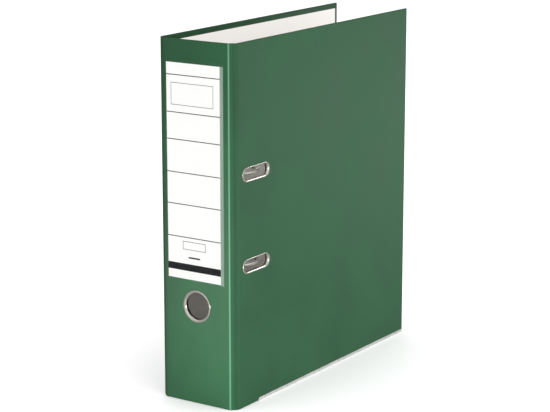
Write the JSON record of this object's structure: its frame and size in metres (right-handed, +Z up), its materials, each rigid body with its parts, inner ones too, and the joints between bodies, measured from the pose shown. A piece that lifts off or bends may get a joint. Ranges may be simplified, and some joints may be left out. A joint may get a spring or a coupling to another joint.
{
  "type": "lever arch file",
  "caption": "Upright A4 lever arch file with a wide labelled spine, finger ring, slotted cover eyelets, folding covers and a working lever mechanism.",
  "frame": {"origin": "centre of the closed file's bottom, between the two covers", "axes": "+Z up along the spine, +Y from the spine to the fore-edge, +X from the back cover to the front cover"},
  "size_m": [0.0812, 0.2858, 0.318],
  "materials": {
    "cover_film": "fine linen-grained polypropylene film, satin",
    "grey_board": "grey board, matte",
    "white_lining": "smooth white lining paper",
    "guard_steel": "bright nickel-plated steel strip",
    "nickel": "nickel-plated steel",
    "spring_steel": "drawn spring wire",
    "roller_steel": "turned steel",
    "clear_pocket": "clear film",
    "label_card": "white card, printed rules"
  },
  "bodies": {
    "back_cover": {"back_board": "grey_board", "back_film": "cover_film", "back_lining": "white_lining", "back_edge_guard": "guard_steel", "base_plate": "nickel", "mechanism_rivets": "nickel", "post_lower": "nickel", "post_upper": "nickel", "lever_pin": "nickel", "arch_spring": "spring_steel"},
    "back_hinge": {"back_hinge_board": "grey_board", "back_hinge_film": "cover_film", "back_hinge_lining": "white_lining"},
    "spine": {"spine_board": "grey_board", "spine_film": "cover_film", "spine_lining": "white_lining", "finger_ring": "nickel", "finger_ring_washer": "nickel", "label_pocket": "clear_pocket"},
    "label": {"spine_label": "label_card"},
    "front_hinge": {"front_hinge_board": "grey_board", "front_hinge_film": "cover_film", "front_hinge_lining": "white_lining"},
    "front_cover": {"front_board": "grey_board", "front_film": "cover_film", "front_lining": "white_lining", "front_edge_guard": "guard_steel", "eyelet_lower": "nickel", "eyelet_upper": "nickel"},
    "arches": {"arch_wire": "nickel"},
    "lever": {"lever": "nickel", "lever_roller_pin": "nickel"},
    "roller": {"lever_roller": "roller_steel"},
    "compressor": {"compressor_bar": "nickel", "catch_pin": "nickel", "catch_spring": "spring_steel"},
    "catch": {"compressor_catch": "nickel"}
  },
  "joints": [
    {"name": "back_fold", "type": "hinge", "parent": "back_cover", "child": "back_hinge", "pos_m": [-0.04, -0.1369, 0.159], "axis": [0, 0, -1], "range_deg": [0, 45]},
    {"name": "spine_fold", "type": "hinge", "parent": "back_hinge", "child": "spine", "pos_m": [-0.0344, -0.1425, 0.159], "axis": [0, 0, -1], "range_deg": [0, 45]},
    {"name": "front_fold", "type": "hinge", "parent": "spine", "child": "front_hinge", "pos_m": [0.0344, -0.1425, 0.159], "axis": [0, 0, -1], "range_deg": [0, 90]},
    {"name": "cover_fold", "type": "hinge", "parent": "front_hinge", "child": "front_cover", "pos_m": [0.04, -0.1369, 0.159], "axis": [0, 0, -1], "range_deg": [0, 90]},
    {"name": "label_slide", "type": "slide", "parent": "spine", "child": "label", "axis": [0, 0, 1], "range_m": [0, 0.2]},
    {"name": "arch_pivot", "type": "hinge", "parent": "back_cover", "child": "arches", "pos_m": [-0.03395, -0.1275, 0.165], "axis": [0, 0, -1], "range_deg": [0, 50]},
    {"name": "lever_pivot", "type": "hinge", "parent": "back_cover", "child": "lever", "pos_m": [-0.02395, -0.104, 0.191], "axis": [0, -1, 0], "range_deg": [0, 100]},
    {"name": "roller_spin", "type": "hinge", "parent": "lever", "child": "roller", "pos_m": [-0.02791, -0.1139, 0.1825], "axis": [0, 1, 0], "continuous": true},
    {"name": "compressor_slide", "type": "slide", "parent": "back_cover", "child": "compressor", "axis": [1, 0, 0], "range_m": [0, 0.028]},
    {"name": "catch_pivot", "type": "hinge", "parent": "compressor", "child": "catch", "pos_m": [-0.02645, -0.0935, 0.195], "axis": [0, 1, 0], "range_deg": [0, 8], "stiffness_Nm_per_rad": 0.02, "springref_deg": -17.19}
  ],
  "couplings": [
    {"joint": "spine_fold", "follows": "back_fold", "ratio": 1},
    {"joint": "cover_fold", "follows": "front_fold", "ratio": 1},
    {"joint": "arch_pivot", "follows": "back_fold", "ratio": 1.1111},
    {"joint": "lever_pivot", "follows": "back_fold", "ratio": 2.2222}
  ]
}
